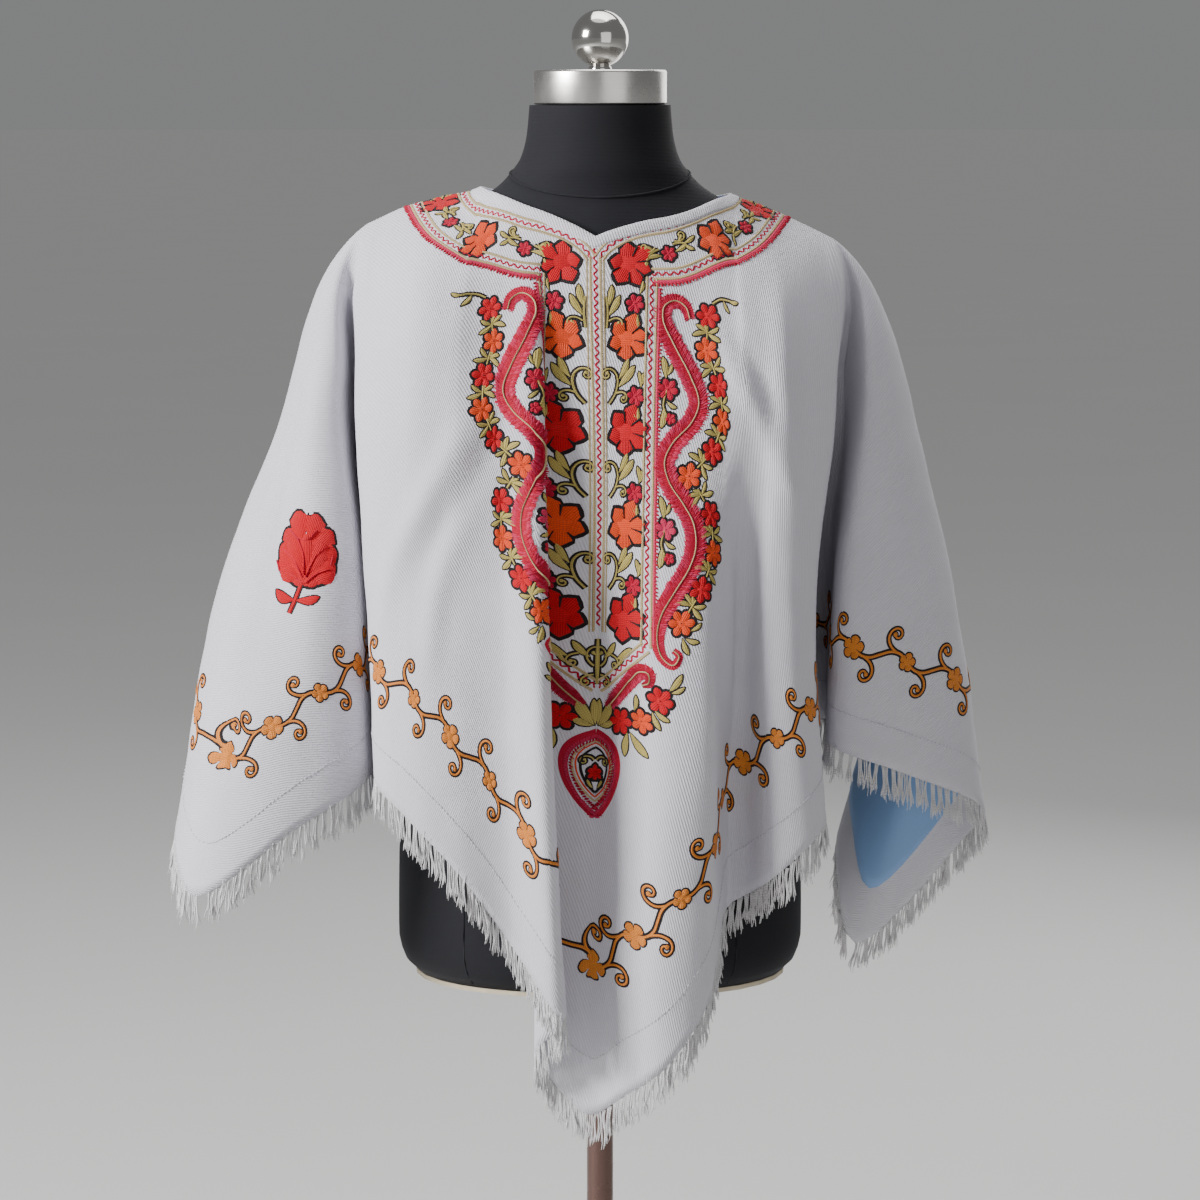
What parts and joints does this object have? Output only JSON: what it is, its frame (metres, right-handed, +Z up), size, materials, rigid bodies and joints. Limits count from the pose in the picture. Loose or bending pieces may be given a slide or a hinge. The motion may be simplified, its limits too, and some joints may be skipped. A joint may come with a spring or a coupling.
{
  "type": "poncho on a dress form",
  "caption": "Lined, fringed square poncho with embroidered placket, yoke and border, worn corner to the front on a limbless dress form with a capped neck, a pole and a round base.",
  "frame": {"origin": "on the floor, in the middle of the underside of the round base, on the axis of the pole", "axes": "+Z up along the pole, -Y the way the wearer's chest looks, +X towards the wearer's left arm"},
  "size_m": [0.7466, 0.4123, 1.5905],
  "materials": {
    "wool": "light grey fine twill, dry",
    "lining_cloth": "light blue plain lining, slight sheen",
    "neck_edge": "the same grey cloth, turned and pressed",
    "yarn": "loose twisted grey yarn ends",
    "black_cover": "matt black stretch cover",
    "board": "pale unpainted board",
    "chrome": "polished, softly brushed on the cap",
    "bronze": "dark bronze lacquer, half gloss"
  },
  "bodies": {
    "root": {"shell": "wool", "lining": "lining_cloth", "neck_binding": "neck_edge", "fringe_front_right_arm": "yarn", "fringe_back_right_arm": "yarn", "fringe_back_left_arm": "yarn", "fringe_front_left_arm": "yarn", "form_torso": "black_cover", "form_board": "board", "neck_cap": "chrome", "cap_ball": "chrome", "base_disc": "bronze", "base_collar": "bronze", "pole": "bronze"}
  },
  "joints": []
}
